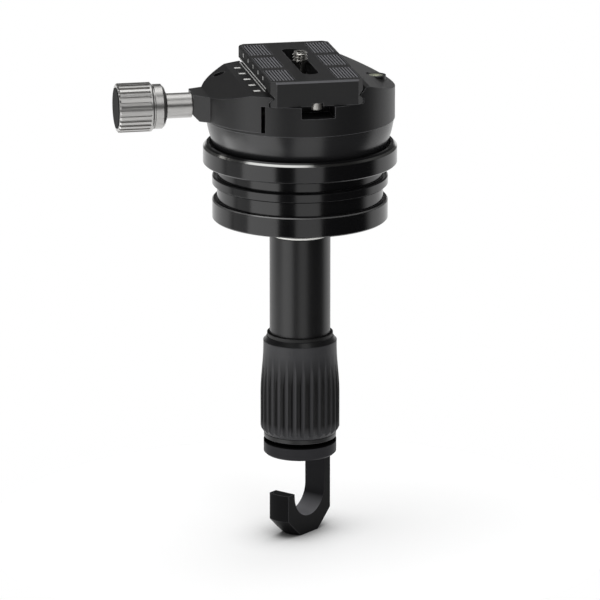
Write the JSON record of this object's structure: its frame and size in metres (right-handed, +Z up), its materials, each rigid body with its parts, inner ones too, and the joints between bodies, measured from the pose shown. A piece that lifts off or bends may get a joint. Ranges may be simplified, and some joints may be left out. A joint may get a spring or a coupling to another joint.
{
  "type": "leveling head",
  "caption": "Half-ball leveling head with a quick-release clamp and plate on top, a twist-lock grip below its base, and a weight hook at the lower end.",
  "frame": {"origin": "centre of the base flange's underside, where the head sits on the tripod's apex", "axes": "+Z up along the stem to the camera, +X from the clamp's knob to its level, Y along the quick-release plate"},
  "size_m": [0.1184, 0.0812, 0.2086],
  "materials": {
    "gloss_black": "gloss black anodised, turned",
    "satin_black": "satin black anodised",
    "silver": "satin silver anodised",
    "steel": "plain stainless",
    "brass": "turned",
    "rubber": "moulded black",
    "polymer": "low-friction bearing polymer",
    "clear": "clear vial with tinted liquid"
  },
  "bodies": {
    "base": {"base_ring": "gloss_black"},
    "pan": {"seat_liner": "polymer"},
    "cross": {"friction_washer": "polymer"},
    "head": {"half_ball": "satin_black", "clamp_body": "satin_black", "clamp_screws": "steel", "spindle_insert": "brass", "level_cup": "satin_black", "level_vial": "clear", "tension_rod": "steel", "rod_nut": "steel", "rod_washer": "steel", "weight_hook": "satin_black", "hook_pin": "steel", "seal_ring": "rubber"},
    "jaw": {"clamp_jaw": "satin_black", "jaw_guide_pins": "steel", "jaw_set_screw": "satin_black"},
    "knob": {"clamp_knob": "silver", "knob_shaft": "silver", "knob_washer": "rubber", "knob_end_cap": "polymer", "clamp_spindle": "steel", "spindle_clip": "steel"},
    "plate": {"quick_release_plate": "satin_black", "plate_stop_screws": "steel"},
    "carriage": {"screw_retainer": "polymer"},
    "screw": {"camera_screw": "steel"},
    "stem": {"stem_tube": "satin_black", "pressure_cup": "satin_black", "thrust_washer": "brass"},
    "grip": {"grip_nut": "satin_black", "grip_sleeve": "rubber", "grip_lip_ring": "rubber"}
  },
  "joints": [
    {"name": "pan_turn", "type": "hinge", "parent": "base", "child": "pan", "pos_m": [0, 0, 0.0237], "axis": [0, 0, 1], "continuous": true},
    {"name": "tilt_x", "type": "hinge", "parent": "pan", "child": "cross", "pos_m": [0, 0, 0.0237], "axis": [1, 0, 0], "range_deg": [-10, 10]},
    {"name": "tilt_y", "type": "hinge", "parent": "cross", "child": "head", "pos_m": [0, 0, 0.0237], "axis": [0, 1, 0], "range_deg": [-10, 10]},
    {"name": "knob_turn", "type": "hinge", "parent": "jaw", "child": "knob", "pos_m": [-0.06, 0, 0.0262], "axis": [-1, 0, 0], "range_deg": [0, 1260.2]},
    {"name": "jaw_slide", "type": "slide", "parent": "head", "child": "jaw", "axis": [-1, 0, 0], "range_m": [0, 0.0035]},
    {"name": "plate_slide", "type": "slide", "parent": "head", "child": "plate", "axis": [0, 1, 0], "range_m": [-0.0045, 0.0045]},
    {"name": "screw_slide", "type": "slide", "parent": "plate", "child": "carriage", "axis": [0, 1, 0], "range_m": [-0.021, 0.021]},
    {"name": "screw_turn", "type": "hinge", "parent": "carriage", "child": "screw", "pos_m": [0, 0, 0.0385], "axis": [0, 0, 1], "continuous": true},
    {"name": "stem_slide", "type": "slide", "parent": "head", "child": "stem", "axis": [0, 0, -1], "range_m": [0, 0.000583]},
    {"name": "grip_twist", "type": "hinge", "parent": "stem", "child": "grip", "pos_m": [0, 0, -0.1], "axis": [0, 0, -1], "range_deg": [0, 120]}
  ],
  "couplings": [
    {"joint": "knob_turn", "follows": "jaw_slide", "rad_per_m": 6283.2},
    {"joint": "grip_twist", "follows": "stem_slide", "rad_per_m": 3590.4}
  ]
}
